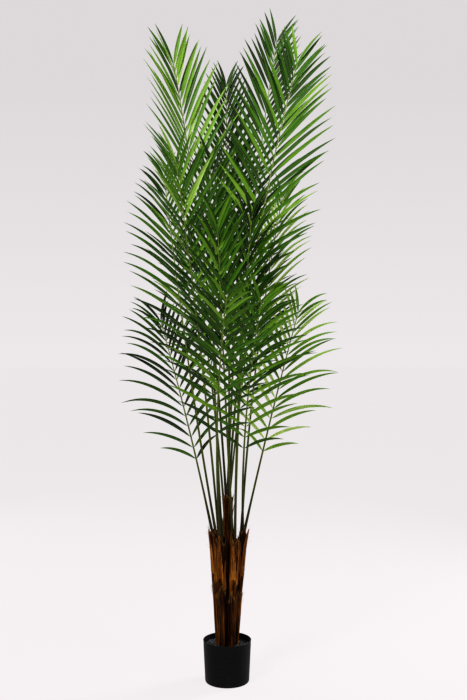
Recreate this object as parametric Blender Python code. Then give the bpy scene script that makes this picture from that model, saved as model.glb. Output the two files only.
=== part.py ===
"""Potted palm, 2.4 m tall: a plain round pot with ballast and gravel, a clump of six cane trunks
wrapped in dry leaf sheaths, and seventeen feather fronds. Metres, +Z up, origin under the pot's centre.
The palm's front faces -Y."""

import math
from typing import NamedTuple

import bmesh
import bpy
from mathutils import Vector
from mathutils.bvhtree import BVHTree

# Pot, ballast and gravel
POT_HEIGHT = 0.148
POT_RIM_RADIUS = 0.085
POT_BASE_RADIUS = 0.078
POT_WALL = 0.0022
POT_FLOOR = 0.004
POT_EDGE = 0.004  # chamfer round the foot
POT_SIDES = 48
GRAVEL_BELOW_RIM = 0.020
GRAVEL_DEPTH = 0.010
GAP = 0.0004  # between a piece and its neighbour

# Trunks: six canes set in the ballast, leaning out a little
CANE_RADIUS = 0.0105
CANE_SIDES = 10
CANE_FOOT_Z = 0.030
STEM_DEPTH = 0.020  # how far the frond stems stand inside the top sheath
# name: place at gravel level, place at the top, height of the top
TRUNKS = {
    "centre": ((0.000, 0.002), (0.003, 0.006), 0.662),
    "left": ((-0.0275, 0.004), (-0.050, 0.006), 0.556),
    "front_left": ((-0.0145, -0.0235), (-0.024, -0.044), 0.540),
    "front_right": ((0.0150, -0.0230), (0.027, -0.040), 0.532),
    "right": ((0.0275, 0.006), (0.057, 0.008), 0.548),
    "back": ((-0.002, 0.0295), (-0.004, 0.054), 0.590),
}

# Dry sheaths round each cane: a lower and an upper wrap, open down one side
SHEATH_WALL = 0.0013
SHEATH_SEGMENTS = 9
SHEATH_TURN = math.radians(312)
LOWER_SHEATH_TOP = 0.345
UPPER_SHEATH_FOOT = 0.322
SHEATH_POINT = 0.055  # how far its pointed side stands above its low side
SHEATH_LAP = 0.012  # how far the upper sheath reaches down over the lower one's height
SHEATH_CLEARANCE = 0.0011  # its flats come nearer the cane than its corners do
SHEATH_ABOVE_TOP = 0.016

# Fronds
STEM_WIDTH = 0.0085
STEM_OFF_AXIS = 0.0064
STEM_LIFT = 0.0015  # its foot's height over the end of the cane
BLADE_BASE_WIDTH = 0.0062
RACHIS_TIP_WIDTH = 0.0028
RACHIS_BACK = 0.7  # how far its back stands from its middle, of half its width
PITCH_BASE = 0.041  # between leaflet pairs, at the blade's base and tip
PITCH_TIP = 0.023
LEAFLET_FOOT = 0.0065
LEAFLET_WIDTH = 0.0135
LEAFLET_THICKNESS = 0.0008
LEAFLET_WIDEST = 0.36  # of its length
LEAFLET_ANGLE_BASE = math.radians(52)
LEAFLET_ANGLE_TIP = math.radians(26)
STEM_RING_STEP = 0.11
CURVE_SAMPLES = 160

# How a leaflet finds room: degrees that it may turn and lift, then shares of its length
BEND_STEPS = (6, 12, 18, 25)
LENGTH_TRIES = (1.0, 0.86, 0.7, 0.5)
LEAFLET_CLEARANCE = 0.0011
CLEAR_FROM = 0.016  # nearer than this to its own rachis, a leaflet may pass close to the next one



class Plan(NamedTuple):
    """How one frond grows."""

    name: str
    trunk: str
    foot_angle: float  # where its foot stands round the cane's axis, in degrees from +X
    tip: tuple  # the end of its rachis
    elbow: tuple  # how far the stem bends off the middle of the straight line, along X and Y
    blade: float  # length of the leafy stretch
    longest: float  # its longest leaflet
    facing: float  # the way the blade faces, in degrees: 0 is the front and 90 is +X
    rise: float  # how far its leaflets rise from flat, in degrees
    droop: float  # how far their tips sag, of their length
    opening: float  # how wide they open, where 1 is the usual angle


FRONDS = [
    ("top_left", "centre", 180, (-0.186, -0.1, 2.168), (0.048, 0.0), 0.78, 0.33, 28, 24, 0.05, 0.82),
    ("top_right", "centre", -60, (0.242, -0.13, 2.158), (-0.086, 0.0), 0.84, 0.3, -8, 20, 0.06, 0.94),
    ("front", "front_left", 265, (0.004, -0.44, 1.35), (-0.045, 0.19), 0.56, 0.29, -4, 24, 0.14, 0.9),
    ("front_right", "right", 270, (0.116, -0.27, 1.345), (-0.04, 0.11), 0.57, 0.32, -10, 16, 0.18, 0.95),
    ("low_left", "left", 190, (-0.246, 0.08, 1.29), (0.015, 0.0), 0.53, 0.3, 14, 18, 0.26, 0.9),
    ("low_right", "right", 30, (0.262, 0.06, 1.33), (-0.01, 0.0), 0.54, 0.285, -14, 18, 0.22, 0.95),
    ("left_front", "front_left", 145, (-0.168, -0.25, 1.805), (0.018, 0.06), 0.66, 0.3, 22, 30, 0.1, 0.9),
    ("left", "left", 10, (-0.228, 0.04, 1.81), (-0.02, 0.0), 0.72, 0.27, 14, 22, 0.18, 0.98),
    ("right", "right", 150, (0.205, 0.13, 1.75), (-0.04, 0.02), 0.66, 0.26, -14, 24, 0.18, 0.9),
    ("top_back_right", "front_right", 80, (0.18, 0.1, 2.3), (-0.07, 0.03), 0.8, 0.28, -10, 24, 0.04, 0.95),
    ("top_back", "centre", 60, (-0.006, 0.19, 2.165), (0.01, 0.0), 0.74, 0.26, 4, 20, 0.05, 0.85),
    ("inner_left", "front_left", 25, (-0.056, -0.08, 1.84), (-0.022, 0.02), 0.7, 0.28, 10, 30, 0.08, 0.8),
    ("inner_right", "front_right", 280, (0.085, -0.16, 1.64), (-0.02, 0.04), 0.62, 0.26, -6, 30, 0.12, 0.8),
    ("inner_front", "front_right", 180, (-0.03, -0.26, 1.6), (-0.005, 0.08), 0.6, 0.27, 6, 26, 0.1, 0.8),
    ("back_left", "back", 210, (-0.15, 0.33, 1.62), (0.03, -0.12), 0.66, 0.27, 230, 24, 0.16, 1.0),
    ("back_right", "back", -30, (0.13, 0.35, 1.54), (-0.02, -0.12), 0.64, 0.27, 130, 24, 0.16, 1.0),
    ("back_tall", "back", 90, (0.06, 0.31, 1.96), (0.0, -0.07), 0.7, 0.28, 178, 24, 0.08, 0.9),
]


def clear_scene():
    for obj in list(bpy.data.objects):
        bpy.data.objects.remove(obj)


def make_material(name, colour, roughness):
    """A plain Principled surface."""
    material = bpy.data.materials.new(name)
    material.use_nodes = True
    shader = material.node_tree.nodes["Principled BSDF"]
    shader.inputs["Base Color"].default_value = (*colour, 1.0)
    shader.inputs["Roughness"].default_value = roughness
    shader.inputs["Metallic"].default_value = 0.0
    return material


def make_solid(name, points, faces, material):
    """A closed mesh object with its faces pointing out."""
    mesh = bpy.data.meshes.new(name)
    mesh.from_pydata([tuple(p) for p in points], [], faces)
    work = bmesh.new()
    work.from_mesh(mesh)
    bmesh.ops.recalc_face_normals(work, faces=work.faces)
    work.to_mesh(mesh)
    work.free()
    mesh.materials.append(material)
    obj = bpy.data.objects.new(name, mesh)
    bpy.context.scene.collection.objects.link(obj)
    return obj


def circle(centre, radius, sides, z):
    turn = math.tau / sides
    return [
        Vector((centre[0] + radius * math.cos(i * turn), centre[1] + radius * math.sin(i * turn), z))
        for i in range(sides)
    ]


def loft(rings):
    """Points and faces of the solid through rings of equal length, with both ends closed."""
    sides = len(rings[0])
    points = [p for ring in rings for p in ring]
    faces = []
    for k in range(len(rings) - 1):
        low = k * sides
        for i in range(sides):
            j = (i + 1) % sides
            faces.append((low + i, low + j, low + sides + j, low + sides + i))
    faces.append(tuple(range(sides))[::-1])
    faces.append(tuple(range(len(points) - sides, len(points))))
    return points, faces


# ---- pot, ballast, gravel ----


def pot_radius(z):
    """Outer radius of the tapered wall at height z."""
    return POT_BASE_RADIUS + (POT_RIM_RADIUS - POT_BASE_RADIUS) * z / POT_HEIGHT


def make_pot(material):
    inner = -POT_WALL
    profile = [
        (POT_BASE_RADIUS - POT_EDGE, 0.0),
        (pot_radius(POT_EDGE), POT_EDGE),
        (POT_RIM_RADIUS, POT_HEIGHT),
        (POT_RIM_RADIUS + inner, POT_HEIGHT),
        (pot_radius(POT_FLOOR) + inner, POT_FLOOR),
    ]
    rings = [circle((0, 0), radius, POT_SIDES, z) for radius, z in profile]
    return make_solid("pot", *loft(rings), material)


def disc(name, low, high, material):
    """A layer that fills the pot between two heights."""
    clearance = POT_WALL + 2 * GAP
    rings = [circle((0, 0), pot_radius(z) - clearance, POT_SIDES, z) for z in (low, high)]
    return make_solid(name, *loft(rings), material)


def bore_for_canes(layer, material):
    """Cuts each cane's hole through a layer."""
    for trunk in TRUNKS:
        cutter = make_cane(trunk, material, name=f"hole_{layer.name}_{trunk}", extra=GAP, reach=0.004)
        cutter.hide_render = True
        cutter.display_type = "WIRE"
        cut = layer.modifiers.new(f"hole_{trunk}", "BOOLEAN")
        cut.operation = "DIFFERENCE"
        cut.solver = "EXACT"
        cut.object = cutter


# ---- trunks ----


def trunk_point(trunk, z):
    """The cane's axis at height z."""
    foot, top, top_z = TRUNKS[trunk]
    level = POT_HEIGHT - GRAVEL_BELOW_RIM
    share = (z - level) / (top_z - level)
    return Vector((foot[0] + (top[0] - foot[0]) * share, foot[1] + (top[1] - foot[1]) * share, z))


def make_cane(trunk, material, name=None, extra=0.0, reach=0.0):
    """The cane itself. extra fattens it and reach lowers its foot, for a cutter."""
    top_z = TRUNKS[trunk][2] - STEM_DEPTH
    rings = []
    for z in (CANE_FOOT_Z - reach, top_z):
        rings.append(circle(trunk_point(trunk, z), CANE_RADIUS + extra, CANE_SIDES, z))
    return make_solid(name or f"trunk_{trunk}", *loft(rings), material)


def sheath_top(share, low, point):
    """Height of the torn upper edge, at a share of the way round: one pointed side, one small point."""
    tall = max(0.0, 1 - abs(share - 0.5) / 0.30)
    small = max(0.0, 1 - abs(share - 0.08) / 0.12)
    return low + point * max(tall, 0.35 * small)


def make_sheath(name, trunk, foot_z, top_z, radii, opening, material):
    """A wrap round a cane, open at the angle given. radii are the inner ones at its foot, waist and top."""
    heights = (0.0, 0.55, 1.0)
    outer, inner = [], []
    for k in range(SHEATH_SEGMENTS + 1):
        share = k / SHEATH_SEGMENTS
        angle = opening + (math.tau - SHEATH_TURN) / 2 + share * SHEATH_TURN
        way = Vector((math.cos(angle), math.sin(angle), 0))
        edge = sheath_top(share, top_z - SHEATH_POINT, SHEATH_POINT)
        for height, radius in zip(heights, radii):
            z = foot_z + (edge - foot_z) * height
            centre = trunk_point(trunk, z)
            outer.append(centre + way * (radius + SHEATH_WALL))
            inner.append(centre + way * radius)
    rows = len(heights)
    points = outer + inner
    back = len(outer)
    faces = []
    for k in range(SHEATH_SEGMENTS):
        for r in range(rows - 1):
            a, b = k * rows + r, (k + 1) * rows + r
            faces.append((a, b, b + 1, a + 1))
            faces.append((back + a, back + a + 1, back + b + 1, back + b))
        for r in (0, rows - 1):
            a, b = k * rows + r, (k + 1) * rows + r
            faces.append((a, b, back + b, back + a))
    for k in (0, SHEATH_SEGMENTS):
        for r in range(rows - 1):
            a = k * rows + r
            faces.append((a, a + 1, back + a + 1, back + a))
    return make_solid(name, points, faces, material)


def make_trunks(cane_material, sheath_material):
    """The canes and their sheaths. The upper sheath's foot stands inside the lower one's flared top."""
    level = POT_HEIGHT - GRAVEL_BELOW_RIM
    close = CANE_RADIUS + SHEATH_CLEARANCE
    lower_radii = (close, close, close + 0.0034)
    upper_radii = (close, close + 0.0004, close + 0.0022)
    pieces = []
    for number, (trunk, (foot, _, top_z)) in enumerate(TRUNKS.items()):
        turned = math.atan2(foot[1], foot[0]) + math.radians(150 + 37 * number)
        joint_z = LOWER_SHEATH_TOP + 0.012 * (number % 3)
        lower = (f"sheath_lower_{trunk}", trunk, level + GAP, joint_z, lower_radii, turned)
        upper_span = (joint_z - SHEATH_LAP, top_z + SHEATH_ABOVE_TOP)
        upper = (f"sheath_upper_{trunk}", trunk, *upper_span, upper_radii, turned + math.pi)
        pieces.append(make_cane(trunk, cane_material))
        pieces.append(make_sheath(*lower, sheath_material))
        pieces.append(make_sheath(*upper, sheath_material))
    return pieces


# ---- fronds ----


class Frond:
    """The line of a frond's stem and rachis, and the frame along it."""

    def __init__(self, plan):
        angle = math.radians(plan.foot_angle)
        foot_z = TRUNKS[plan.trunk][2] - STEM_DEPTH + STEM_LIFT
        off_axis = STEM_OFF_AXIS * Vector((math.cos(angle), math.sin(angle), 0))
        foot = trunk_point(plan.trunk, foot_z) + off_axis
        tip = Vector(plan.tip)
        bend = (foot + tip) / 2 + Vector((*plan.elbow, 0.0))
        steps = [i / CURVE_SAMPLES for i in range(CURVE_SAMPLES + 1)]
        self.line = [(1 - t) ** 2 * foot + 2 * t * (1 - t) * bend + t * t * tip for t in steps]
        self.walked = [0.0]
        for a, b in zip(self.line, self.line[1:]):
            self.walked.append(self.walked[-1] + (b - a).length)
        self.length = self.walked[-1]
        self.blade_start = self.length - plan.blade
        turn = math.radians(plan.facing)
        self.face = Vector((math.sin(turn), -math.cos(turn), 0.0))

    def at(self, distance):
        """The point at a distance from the foot, with the tangent, the blade's normal and its right side."""
        distance = min(max(distance, 0.0), self.length)
        k = 0
        while k < CURVE_SAMPLES - 1 and self.walked[k + 1] < distance:
            k += 1
        share = (distance - self.walked[k]) / (self.walked[k + 1] - self.walked[k])
        point = self.line[k].lerp(self.line[k + 1], share)
        along = (self.line[k + 1] - self.line[k]).normalized()
        normal = (self.face - self.face.dot(along) * along).normalized()
        return point, along, normal, along.cross(normal)

    def width(self, distance):
        """Width of the stem or rachis."""
        if distance < self.blade_start:
            return STEM_WIDTH + (BLADE_BASE_WIDTH - STEM_WIDTH) * distance / self.blade_start
        return BLADE_BASE_WIDTH + (RACHIS_TIP_WIDTH - BLADE_BASE_WIDTH) * self.blade_share(distance)

    def blade_share(self, distance):
        """0 where the blade starts and 1 at its tip."""
        return (distance - self.blade_start) / (self.length - self.blade_start)

    def pair_places(self):
        """Distances of the leaflet pairs, closer together towards the tip."""
        places = []
        distance = self.blade_start
        while distance < self.length - LEAFLET_FOOT:
            places.append(distance)
            distance += PITCH_BASE + (PITCH_TIP - PITCH_BASE) * self.blade_share(distance)
        return places


def leaflet_length(longest, share):
    """Leaflets are longest two fifths of the way up the blade."""
    if share < 0.4:
        return longest * (0.58 + 0.42 * math.sin(math.pi / 2 * share / 0.4))
    return longest * (0.48 + 0.52 * math.cos(math.pi / 2 * (share - 0.4) / 0.6))


def wobble(*numbers):
    """A fixed uneven value from -1 to 1, so that no two leaflets are quite alike."""
    mixed = sum(n * k for n, k in zip(numbers, (12.9898, 78.233, 37.719)))
    return 2 * ((math.sin(mixed) * 43758.5453) % 1.0) - 1


def leaflet_points(place, side, angle, rise, length, droop, fatter=0.0):
    """The leaflet's four middle points and its tip, from the frame where it grows."""
    point, along, normal, right = place
    out = math.cos(rise) * side * right + math.sin(rise) * normal
    heading = math.cos(angle) * along + math.sin(angle) * out
    across = (along - along.dot(heading) * heading).normalized()
    upper = across.cross(heading) * side
    if upper.dot(normal) < 0:
        upper = -upper
    sag = Vector((0, 0, -droop * length))
    middle = point + heading * length * LEAFLET_WIDEST + sag * LEAFLET_WIDEST**2
    tip = point + heading * length + sag
    half_width = LEAFLET_WIDTH / 2 * (0.72 + 0.28 * min(1.0, length / 0.26)) + fatter
    half_thick = LEAFLET_THICKNESS / 2 + fatter
    corners = [
        middle - across * half_width + upper * half_thick,
        middle - across * half_width - upper * half_thick,
        middle + across * half_width - upper * half_thick,
        middle + across * half_width + upper * half_thick,
    ]
    return corners, tip, heading


# A leaflet's sides, from its foot (0 to 3) past its middle (4 to 7) to its tip (8)
LEAFLET_FACES = [(0, 1, 5, 4), (1, 2, 6, 5), (2, 3, 7, 6), (3, 0, 4, 7)]
LEAFLET_FACES += [(4, 5, 8), (5, 6, 8), (6, 7, 8), (7, 4, 8)]


def bend_tries():
    """Pairs of turn and lift in degrees, the smallest change first."""
    tries = [(0, 0)]
    for step in BEND_STEPS:
        half = step / 2
        tries += [(0, step), (0, -step), (half, half), (-half, -half), (half, -half), (-half, half)]
    return tries


def probe_tree(place, corners, tip, heading, start):
    """The leaflet beyond a distance from its rachis as a search tree, a little fatter than the leaflet."""
    root = place[0] + heading * start
    middle = sum(corners, Vector()) / 4
    foot = [root + (corner - middle) * 0.5 for corner in corners]
    return BVHTree.FromPolygons(foot + corners + [tip], LEAFLET_FACES)


def grow_leaflet(place, side, angle, rise, length, droop, obstacles, siblings):
    """The first way this leaflet can lie without touching anything that is already there, or None."""
    for shorter in LENGTH_TRIES:
        for turn, lift in bend_tries():
            way = (angle + math.radians(turn), rise + math.radians(lift), length * shorter, droop)
            fat = leaflet_points(place, side, *way, fatter=LEAFLET_CLEARANCE)
            outer = probe_tree(place, *fat, CLEAR_FROM)
            whole = probe_tree(place, *fat, 0.0)
            if any(outer.overlap(other) for other in siblings):
                continue
            if any(whole.overlap(other) for other in obstacles):
                continue
            corners, tip, _ = leaflet_points(place, side, *way)
            return corners, tip, outer
    return None


def rachis_ring(frond, distance):
    """Three points round the rachis: its ridge on the face side, then right and left."""
    point, _, normal, right = frond.at(distance)
    half = frond.width(distance) / 2
    back = point - normal * half * RACHIS_BACK
    return [point + normal * half, back + right * half, back - right * half]


def stem_places(frond):
    """Where the rings of the stem and rachis go: plain ones up the stem, then two for each leaflet pair."""
    steps = max(2, round(frond.blade_start / STEM_RING_STEP))
    places = [frond.blade_start * i / steps for i in range(steps)]
    for distance in frond.pair_places():
        places += [distance, distance + LEAFLET_FOOT]
    return places


def stem_tree(frond):
    """The bare stem and rachis as a search tree."""
    points, faces = loft([rachis_ring(frond, d) for d in stem_places(frond)])
    return BVHTree.FromPolygons(points, faces)


def make_frond(number, plan, frond, obstacles, material):
    """One closed solid: the stem, with each leaflet drawn out of a side face of the rachis."""
    pairs = frond.pair_places()
    rings = [rachis_ring(frond, d) for d in stem_places(frond)]
    points, faces = loft(rings)
    first_pair_ring = len(rings) - 2 * len(pairs)
    own = []
    for index, distance in enumerate(pairs):
        share = frond.blade_share(distance)
        place = frond.at(distance + LEAFLET_FOOT / 2)
        low = 3 * (first_pair_ring + 2 * index)
        for side, edge in ((1, 1), (-1, 2)):
            uneven = [wobble(number, index, side * (k + 1)) for k in range(4)]
            angle = LEAFLET_ANGLE_BASE + (LEAFLET_ANGLE_TIP - LEAFLET_ANGLE_BASE) * share**1.25
            angle = plan.opening * angle + math.radians(3.5) * uneven[0]
            lift = math.radians(plan.rise + 5 * uneven[1])
            length = leaflet_length(plan.longest, share) * (1 + 0.06 * uneven[2])
            sag = plan.droop * (1 + 0.35 * uneven[3])
            grown = grow_leaflet(place, side, angle, lift, length, sag, obstacles, own)
            if grown is None:
                continue
            corners, tip, tree = grown
            own.append(tree)
            foot = [low, low + edge, low + 3 + edge, low + 3]
            drop_face(faces, foot)
            numbers = foot + list(range(len(points), len(points) + 5))
            points += corners + [tip]
            faces += [tuple(numbers[i] for i in face) for face in LEAFLET_FACES]
    make_solid(f"frond_{plan.name}", points, faces, material)
    return BVHTree.FromPolygons(points, faces)


def drop_face(faces, corners):
    """Takes out the rachis face that a leaflet grows from."""
    wanted = set(corners)
    for k, face in enumerate(faces):
        if set(face) == wanted:
            del faces[k]
            return


def tree_of(obj):
    """A plain object's mesh as a search tree."""
    points = [v.co.copy() for v in obj.data.vertices]
    return BVHTree.FromPolygons(points, [tuple(p.vertices) for p in obj.data.polygons])


def make_fronds(trunk_pieces, material):
    """The fronds in turn, each with its leaflets kept clear of all stems, the trunks and earlier fronds."""
    plans = [Plan(*row) for row in FRONDS]
    fronds = [Frond(plan) for plan in plans]
    stems = [stem_tree(frond) for frond in fronds]
    placed = [tree_of(piece) for piece in trunk_pieces]
    for number, (plan, frond) in enumerate(zip(plans, fronds)):
        others = [tree for k, tree in enumerate(stems) if k != number]
        placed.append(make_frond(number, plan, frond, placed + others, material))


def main():
    clear_scene()
    pot_plastic = make_material("pot_plastic", (0.012, 0.012, 0.012), 0.55)
    cement = make_material("cement", (0.10, 0.10, 0.10), 0.9)
    gravel = make_material("gravel", (0.03, 0.03, 0.035), 0.8)
    cane = make_material("cane", (0.07, 0.035, 0.015), 0.8)
    husk = make_material("husk", (0.13, 0.055, 0.018), 0.75)
    leaf = make_material("leaf", (0.07, 0.18, 0.025), 0.45)

    gravel_top = POT_HEIGHT - GRAVEL_BELOW_RIM
    gravel_foot = gravel_top - GRAVEL_DEPTH
    make_pot(pot_plastic)
    bore_for_canes(disc("ballast", POT_FLOOR + GAP, gravel_foot - GAP, cement), cement)
    bore_for_canes(disc("gravel", gravel_foot, gravel_top, gravel), gravel)
    trunk_pieces = make_trunks(cane, husk)
    make_fronds(trunk_pieces, leaf)


main()
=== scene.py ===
# %% [markdown]
# # A potted palm
#
# A tall indoor palm: feather fronds on long stems, a clump of six brown canes wrapped in dry leaf
# sheaths, and a plain black pot that is small for so tall a plant. The solid model says where each
# frond, cane and sheath is. This script reads those places back and grows the fine surface on them:
# folded leaflets, fibrous sheaths with torn edges, loose threads, gravel and a pot with a rolled lip.

# %% The frame: the solid model that every piece follows
import math
import random
from collections import Counter

import bmesh
import bpy
from mathutils import Matrix, Vector, noise


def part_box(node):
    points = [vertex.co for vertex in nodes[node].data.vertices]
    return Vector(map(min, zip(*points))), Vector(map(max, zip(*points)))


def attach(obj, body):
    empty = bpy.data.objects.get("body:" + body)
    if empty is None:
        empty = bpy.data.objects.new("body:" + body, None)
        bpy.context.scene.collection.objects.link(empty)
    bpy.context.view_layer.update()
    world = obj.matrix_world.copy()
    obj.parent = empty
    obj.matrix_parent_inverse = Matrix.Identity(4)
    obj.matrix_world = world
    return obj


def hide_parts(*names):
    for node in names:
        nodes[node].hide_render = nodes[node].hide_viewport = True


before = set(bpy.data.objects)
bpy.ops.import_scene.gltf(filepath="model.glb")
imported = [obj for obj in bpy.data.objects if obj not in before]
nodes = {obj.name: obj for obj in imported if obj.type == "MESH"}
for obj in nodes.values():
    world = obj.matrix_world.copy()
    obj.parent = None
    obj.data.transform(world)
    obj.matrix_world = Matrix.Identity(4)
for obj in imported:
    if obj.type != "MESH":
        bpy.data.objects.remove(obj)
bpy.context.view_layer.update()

# %% [markdown]
# ## The camera
#
# The palm is looked at from straight in front, from about half its height, so that the floor falls
# away below the eye and the pot is seen a little from above. A camera that stays level keeps the
# stems upright. The lens is a short telephoto one from a little over three metres.

# %% The camera
CAMERA_PLACE = (0.0224, -3.2, 1.173)
CAMERA_LENS = 46.4

camera_data = bpy.data.cameras.new("camera")
camera_data.lens = CAMERA_LENS
camera = bpy.data.objects.new("camera", camera_data)
camera.location = CAMERA_PLACE
camera.rotation_euler = (math.radians(90), 0, 0)
bpy.context.scene.collection.objects.link(camera)
bpy.context.scene.camera = camera

# %% [markdown]
# ## Two small helpers
#
# Both shaders and Geometry Nodes are built from nodes, so one helper adds a node of either kind,
# sets its options and fills its sockets with numbers or with links. A second one turns points and
# faces into an object. Everything else in the script leans on these two.

# %% Helpers for nodes and meshes


def add(tree, kind, inputs=None, **settings):
    """A new node. Each input is a value, or another node's output to link to."""
    node = tree.nodes.new(kind)
    for key, value in settings.items():
        setattr(node, key, value)
    for key, value in (inputs or {}).items():
        if isinstance(value, bpy.types.NodeSocket):
            tree.links.new(value, node.inputs[key])
        else:
            node.inputs[key].default_value = value
    return node


def mesh_object(name, points, faces, edges=()):
    """An object at the origin with its place in its mesh."""
    mesh = bpy.data.meshes.new(name)
    mesh.from_pydata([tuple(p) for p in points], list(edges), faces)
    obj = bpy.data.objects.new(name, mesh)
    bpy.context.scene.collection.objects.link(obj)
    return obj


def give(mesh, name, kind, values):
    """Stores one value for each point: kind FLOAT, or FLOAT_VECTOR."""
    layer = mesh.attributes.new(name, kind, "POINT")
    if kind == "FLOAT_VECTOR":
        layer.data.foreach_set("vector", [c for value in values for c in value])
    else:
        layer.data.foreach_set("value", values)


# %% [markdown]
# ## The room
#
# The palm stands on a pale matt floor that runs on so far that it meets a background of the same
# tone, and no line crosses behind the plant. A standing backdrop would hide the palm from behind,
# so there is none. The floor isn't part of the palm.

# %% The floor
FLOOR_RADIUS = 60.0
FLOOR_SIDES = 64

floor_points = [(0, 0, 0)]
for k in range(FLOOR_SIDES):
    turn = 2 * math.pi * k / FLOOR_SIDES
    floor_points.append((FLOOR_RADIUS * math.cos(turn), FLOOR_RADIUS * math.sin(turn), 0))
floor_faces = [(0, 1 + k, 1 + (k + 1) % FLOOR_SIDES) for k in range(FLOOR_SIDES)]
floor = mesh_object("pale_floor", floor_points, floor_faces)
floor_paint = bpy.data.materials.new("studio_floor")
floor_paint.use_nodes = True
floor_shader = floor_paint.node_tree.nodes["Principled BSDF"]
floor_shader.inputs["Base Color"].default_value = (0.045, 0.043, 0.044, 1)
floor_shader.inputs["Roughness"].default_value = 0.95
floor_shader.inputs["Specular IOR Level"].default_value = 0.05
floor_shader.inputs["Emission Color"].default_value = (1.0, 0.962, 0.975, 1)
floor_shader.inputs["Emission Strength"].default_value = 0.59
floor.data.materials.append(floor_paint)
print("floor:", FLOOR_RADIUS, "m in radius")

# %% [markdown]
# ## Soft light
#
# Four soft lamps: one high on the left in front, a weaker one on the right, one behind on the right
# that shines on the backs of the fronds there and makes them pale, and a weak one behind the left. A weak even world
# fills the shadows, and where it is seen it has the tone of the far floor.

# %% The lamps and the world


def soft_lamp(name, place, aim, size, power):
    """A square area lamp that looks at a point."""
    lamp = bpy.data.lights.new(name, "AREA")
    lamp.size = size
    lamp.energy = power
    obj = bpy.data.objects.new(name, lamp)
    obj.location = place
    obj.rotation_euler = (Vector(aim) - Vector(place)).to_track_quat("-Z", "Y").to_euler()
    bpy.context.scene.collection.objects.link(obj)


soft_lamp("key", (-1.9, -3.0, 4.0), (0, 0, 1.4), 1.1, 180)
soft_lamp("fill", (3.0, -2.6, 2.4), (0, 0, 1.3), 1.4, 45)
soft_lamp("back_right", (2.4, 1.3, 2.0), (0.2, 0, 1.4), 1.0, 120)
soft_lamp("back_left", (-2.6, 2.6, 2.0), (0, 0, 1.1), 1.8, 40)
world = bpy.data.worlds.new("studio")
bpy.context.scene.world = world
world.use_nodes = True
sky = world.node_tree
sky_light = sky.nodes["Background"]
sky_light.inputs["Color"].default_value = (1.0, 0.99, 1.0, 1)
sky_light.inputs["Strength"].default_value = 0.14
upward = add(sky, "ShaderNodeSeparateXYZ", {0: add(sky, "ShaderNodeTexCoord").outputs["Generated"]})
haze = {"Value": upward.outputs["Z"], "From Max": 0.28, "To Min": 0.605, "To Max": 0.535}
haze = add(sky, "ShaderNodeMapRange", haze).outputs[0]
seen = add(sky, "ShaderNodeBackground", {"Color": (1.0, 0.962, 0.975, 1), "Strength": haze})
is_seen = add(sky, "ShaderNodeLightPath").outputs["Is Camera Ray"]
either = add(sky, "ShaderNodeMixShader", {0: is_seen, 1: sky_light.outputs[0], 2: seen.outputs[0]})
sky.links.new(either.outputs[0], sky.nodes["World Output"].inputs["Surface"])
bpy.context.scene.view_settings.view_transform = "Standard"
bpy.context.scene.view_settings.look = "High Contrast"

# %% [markdown]
# ## The leaf's surface
#
# A leaflet is a folded strap with veins that run along it, a paler midrib and a yellowed tip. The
# colour is laid by numbers that each leaflet's points carry: how far along it they are, how far
# across, and a shade of its own. Bump from fine lines across it gives the veins. Each frond also
# carries one tone that moves its leaflets along one ramp. It is partly the frond's own green and
# partly painted light and shade: the fronds at the back and in the middle of the crown are painted
# deep green as if in shade, and the ones in strong light are painted pale yellow-green.

# %% Materials: a shared start


def surface(name, roughness, specular=0.5):
    """A material with its tree and its Principled shader."""
    material = bpy.data.materials.new(name)
    material.use_nodes = True
    tree = material.node_tree
    shader = tree.nodes["Principled BSDF"]
    shader.inputs["Roughness"].default_value = roughness
    shader.inputs["Specular IOR Level"].default_value = specular
    return material, tree, shader


def maths(tree, operation, *values, clamp=False):
    """The output of one Math node."""
    node = add(tree, "ShaderNodeMath", dict(enumerate(values)), operation=operation, use_clamp=clamp)
    return node.outputs[0]


def own(tree, name):
    """A number that the piece's points carry."""
    return add(tree, "ShaderNodeAttribute", attribute_name=name).outputs["Fac"]


def ramp(tree, factor, stops):
    """A colour ramp through (place, colour) stops."""
    node = add(tree, "ShaderNodeValToRGB", {"Fac": factor})
    line = node.color_ramp
    while len(line.elements) < len(stops):
        line.elements.new(0.5)
    for element, (place, colour) in zip(line.elements, stops):
        element.position = place
        element.color = (*colour, 1)
    return node.outputs["Color"]


def blend_colours(tree, factor, first, second):
    """Colour first where the factor is 0 and second where it is 1."""
    node = add(tree, "ShaderNodeMix", data_type="RGBA")
    for key, value in ((0, factor), (6, first), (7, second)):
        if isinstance(value, bpy.types.NodeSocket):
            tree.links.new(value, node.inputs[key])
        else:
            node.inputs[key].default_value = value if key == 0 else (*value, 1)
    return node.outputs[2]


def grain(tree, scale, stretch, detail=3.0, distortion=0.0):
    """Noise on the piece's own place in the room, stretched by (x, y, z) scales."""
    place = add(tree, "ShaderNodeTexCoord").outputs["Object"]
    moved = add(tree, "ShaderNodeMapping", {"Vector": place, "Scale": stretch}).outputs["Vector"]
    values = {"Vector": moved, "Scale": scale, "Detail": detail, "Distortion": distortion}
    return add(tree, "ShaderNodeTexNoise", values).outputs["Fac"]


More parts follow.
